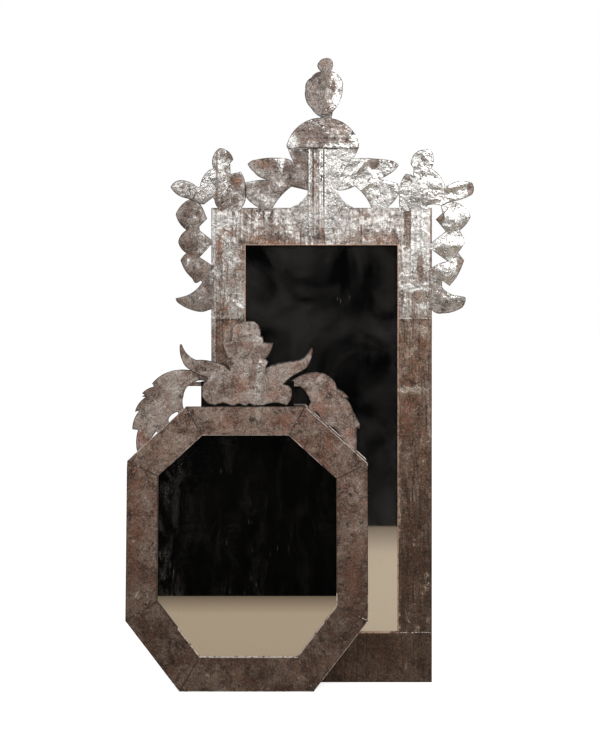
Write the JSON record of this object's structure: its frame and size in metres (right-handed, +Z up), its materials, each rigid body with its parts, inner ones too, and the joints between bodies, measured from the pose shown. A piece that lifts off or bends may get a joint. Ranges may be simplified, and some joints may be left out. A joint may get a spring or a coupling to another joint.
{
  "type": "tin mirror set",
  "caption": "Set of two cut-tin mirrors on wooden cores: a tall rectangular one with a finial crest and side garlands, and an octagonal one with a leaf crest leaning against it.",
  "frame": {"origin": "middle of the tall mirror's foot, on the floor", "axes": "+Z up, -Y out of the glass towards the viewer, +X to the viewer's right"},
  "size_m": [1.1082, 0.1206, 1.9982],
  "materials": {
    "frame_tin": "aged tinplate, brown patina",
    "crest_tin": "aged tinplate, hammered, grey with rust",
    "octagon_tin": "aged tinplate, warm brown patina",
    "iron": "dark oxidised iron",
    "solder": "dull solder, stands for lead-tin",
    "core_wood": "old sawn pine",
    "backboard": "old thin board",
    "mirror": "old silvered glass, hazy"
  },
  "bodies": {
    "tall": {"tall_backboard": "backboard", "tall_crest_dome": "crest_tin", "tall_crest_finial": "crest_tin", "tall_crest_goblet": "crest_tin", "tall_crest_straps": "iron", "tall_crest_wings": "crest_tin", "tall_edge_strip": "frame_tin", "tall_garland_left": "crest_tin", "tall_garland_right": "crest_tin", "tall_glass": "mirror", "tall_hanger_screws": "iron", "tall_hanger_strap_left": "iron", "tall_hanger_strap_right": "iron", "tall_nails": "iron", "tall_rail_core_bottom": "core_wood", "tall_rail_core_top": "core_wood", "tall_solder": "solder", "tall_spray_left": "crest_tin", "tall_spray_right": "crest_tin", "tall_sprigs": "iron", "tall_stile_core_left": "core_wood", "tall_stile_core_right": "core_wood", "tall_tin_bottom": "frame_tin", "tall_tin_left_lower": "frame_tin", "tall_tin_left_upper": "frame_tin", "tall_tin_right_lower": "frame_tin", "tall_tin_right_upper": "frame_tin", "tall_tin_top": "frame_tin"},
    "octagon": {"octagon_backboard": "backboard", "octagon_core_bottom": "core_wood", "octagon_core_left": "core_wood", "octagon_core_lower_left": "core_wood", "octagon_core_lower_right": "core_wood", "octagon_core_right": "core_wood", "octagon_core_top": "core_wood", "octagon_core_upper_left": "core_wood", "octagon_core_upper_right": "core_wood", "octagon_crest": "octagon_tin", "octagon_crest_batten": "core_wood", "octagon_crest_strap": "iron", "octagon_glass": "mirror", "octagon_hanging_tab": "iron", "octagon_leaf_left": "octagon_tin", "octagon_leaf_right": "octagon_tin", "octagon_nails": "iron", "octagon_solder": "solder", "octagon_sprigs": "iron", "octagon_tin_bottom": "octagon_tin", "octagon_tin_left": "octagon_tin", "octagon_tin_lower_left": "octagon_tin", "octagon_tin_lower_right": "octagon_tin", "octagon_tin_right": "octagon_tin", "octagon_tin_top": "octagon_tin", "octagon_tin_upper_left": "octagon_tin", "octagon_tin_upper_right": "octagon_tin"},
    "ring_left": {"tall_hanger_ring_left": "iron"},
    "ring_right": {"tall_hanger_ring_right": "iron"}
  },
  "joints": [
    {"name": "octagon_away", "type": "slide", "parent": "tall", "child": "octagon", "axis": [0, -1, 0], "range_m": [0, 0.6]},
    {"name": "ring_left_swing", "type": "hinge", "parent": "tall", "child": "ring_left", "pos_m": [-0.305, 0.0142, 1.308], "axis": [1, 0, 0], "range_deg": [0, 170]},
    {"name": "ring_right_swing", "type": "hinge", "parent": "tall", "child": "ring_right", "pos_m": [0.305, 0.0142, 1.308], "axis": [1, 0, 0], "range_deg": [0, 170]}
  ]
}
